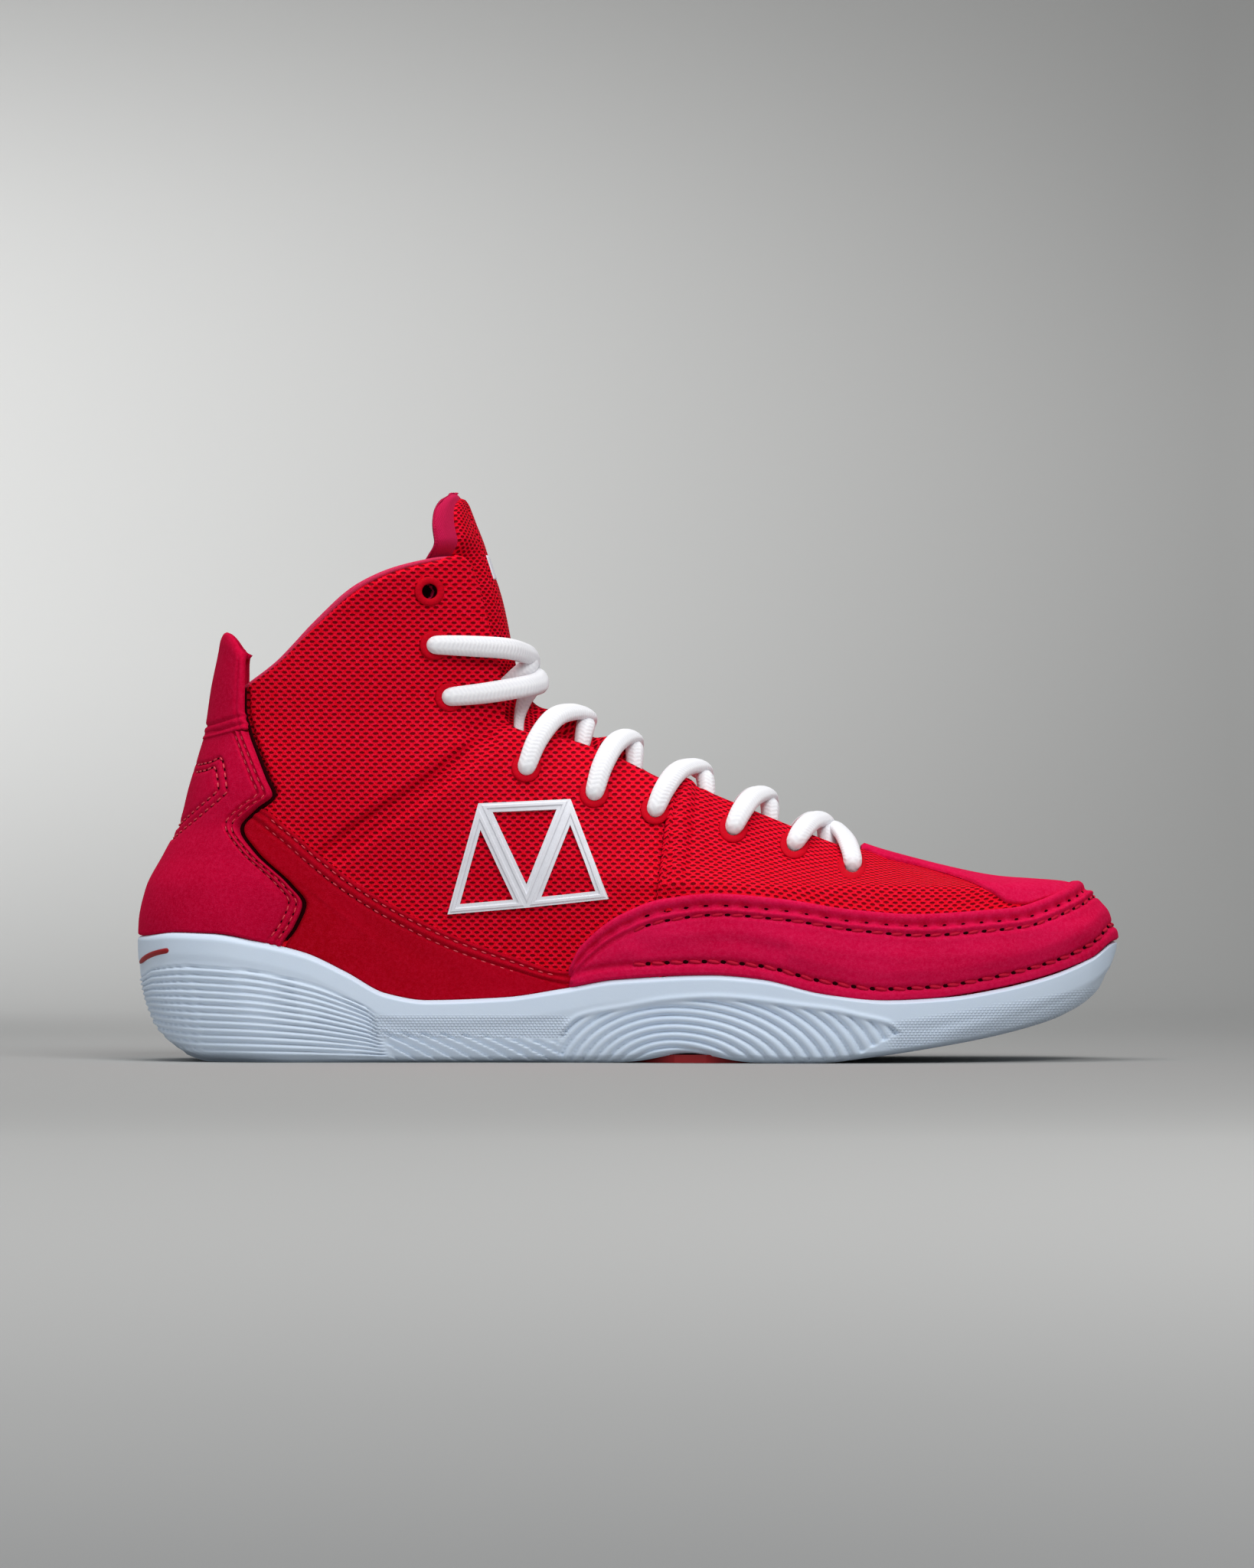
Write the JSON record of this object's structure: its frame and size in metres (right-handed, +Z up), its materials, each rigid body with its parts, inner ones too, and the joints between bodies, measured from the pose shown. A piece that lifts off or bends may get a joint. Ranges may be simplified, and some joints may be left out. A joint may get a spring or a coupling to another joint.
{
  "type": "boxing boot",
  "caption": "High-cut lace-up ring boot for the right foot: mesh upper with suede toe, heel and side overlays, cupped grooved rubber sole and a padded tongue.",
  "frame": {"origin": "centre of the footprint's bounding box, on the floor", "axes": "+X towards the toe, +Y towards the inner side of the foot, +Z up"},
  "size_m": [0.2904, 0.098, 0.1668],
  "materials": {
    "sole_rubber": "satin",
    "red_rubber": "matte",
    "foam": "matte",
    "board": "matte",
    "lining": "matte",
    "mesh": "woven",
    "stiffener": "matte",
    "suede": "napped",
    "white_plastic": "satin",
    "lace_knit": "knitted",
    "clear_tip": "gloss"
  },
  "bodies": {
    "boot": {"outsole": "sole_rubber", "forefoot_pivot_disc": "red_rubber", "heel_tread_disc": "red_rubber", "midsole_foam": "foam", "collar_foam": "foam", "insole_board": "board", "sockliner": "lining", "lateral_quarter_lining": "lining", "medial_quarter_lining": "lining", "vamp_lining": "lining", "tongue_lining": "lining", "collar_binding": "lining", "lateral_quarter_mesh": "mesh", "medial_quarter_mesh": "mesh", "vamp_mesh": "mesh", "tongue": "mesh", "toe_puff": "stiffener", "heel_counter": "stiffener", "lateral_eyelet_facing": "stiffener", "medial_eyelet_facing": "stiffener", "toe_rand": "suede", "toe_top_overlay": "suede", "heel_suede": "suede", "lateral_side_band": "suede", "medial_side_band": "suede", "lateral_eyelet_1": "suede", "lateral_eyelet_2": "suede", "lateral_eyelet_3": "suede", "lateral_eyelet_4": "suede", "lateral_eyelet_5": "suede", "lateral_eyelet_6": "suede", "lateral_eyelet_7": "suede", "lateral_eyelet_8": "suede", "lateral_eyelet_9": "suede", "medial_eyelet_1": "suede", "medial_eyelet_2": "suede", "medial_eyelet_3": "suede", "medial_eyelet_4": "suede", "medial_eyelet_5": "suede", "medial_eyelet_6": "suede", "medial_eyelet_7": "suede", "medial_eyelet_8": "suede", "medial_eyelet_9": "suede", "lateral_badge": "white_plastic", "medial_badge": "white_plastic", "lace": "lace_knit", "medial_aglet": "clear_tip", "lateral_aglet": "clear_tip"},
    "tongue_tip": {"tongue_top": "mesh", "tongue_top_lining": "lining"},
    "heel_tab": {"pull_tab": "suede"}
  },
  "joints": [
    {"name": "tongue_fold", "type": "hinge", "parent": "boot", "child": "tongue_tip", "pos_m": [-0.0436, 0, 0.1556], "axis": [0, 1, 0], "range_deg": [0, 55], "stiffness_Nm_per_rad": 0.05},
    {"name": "heel_tab_bend", "type": "hinge", "parent": "boot", "child": "heel_tab", "pos_m": [-0.1256, 0, 0.0973], "axis": [0, 1, 0], "range_deg": [-35, 0], "stiffness_Nm_per_rad": 0.05}
  ]
}
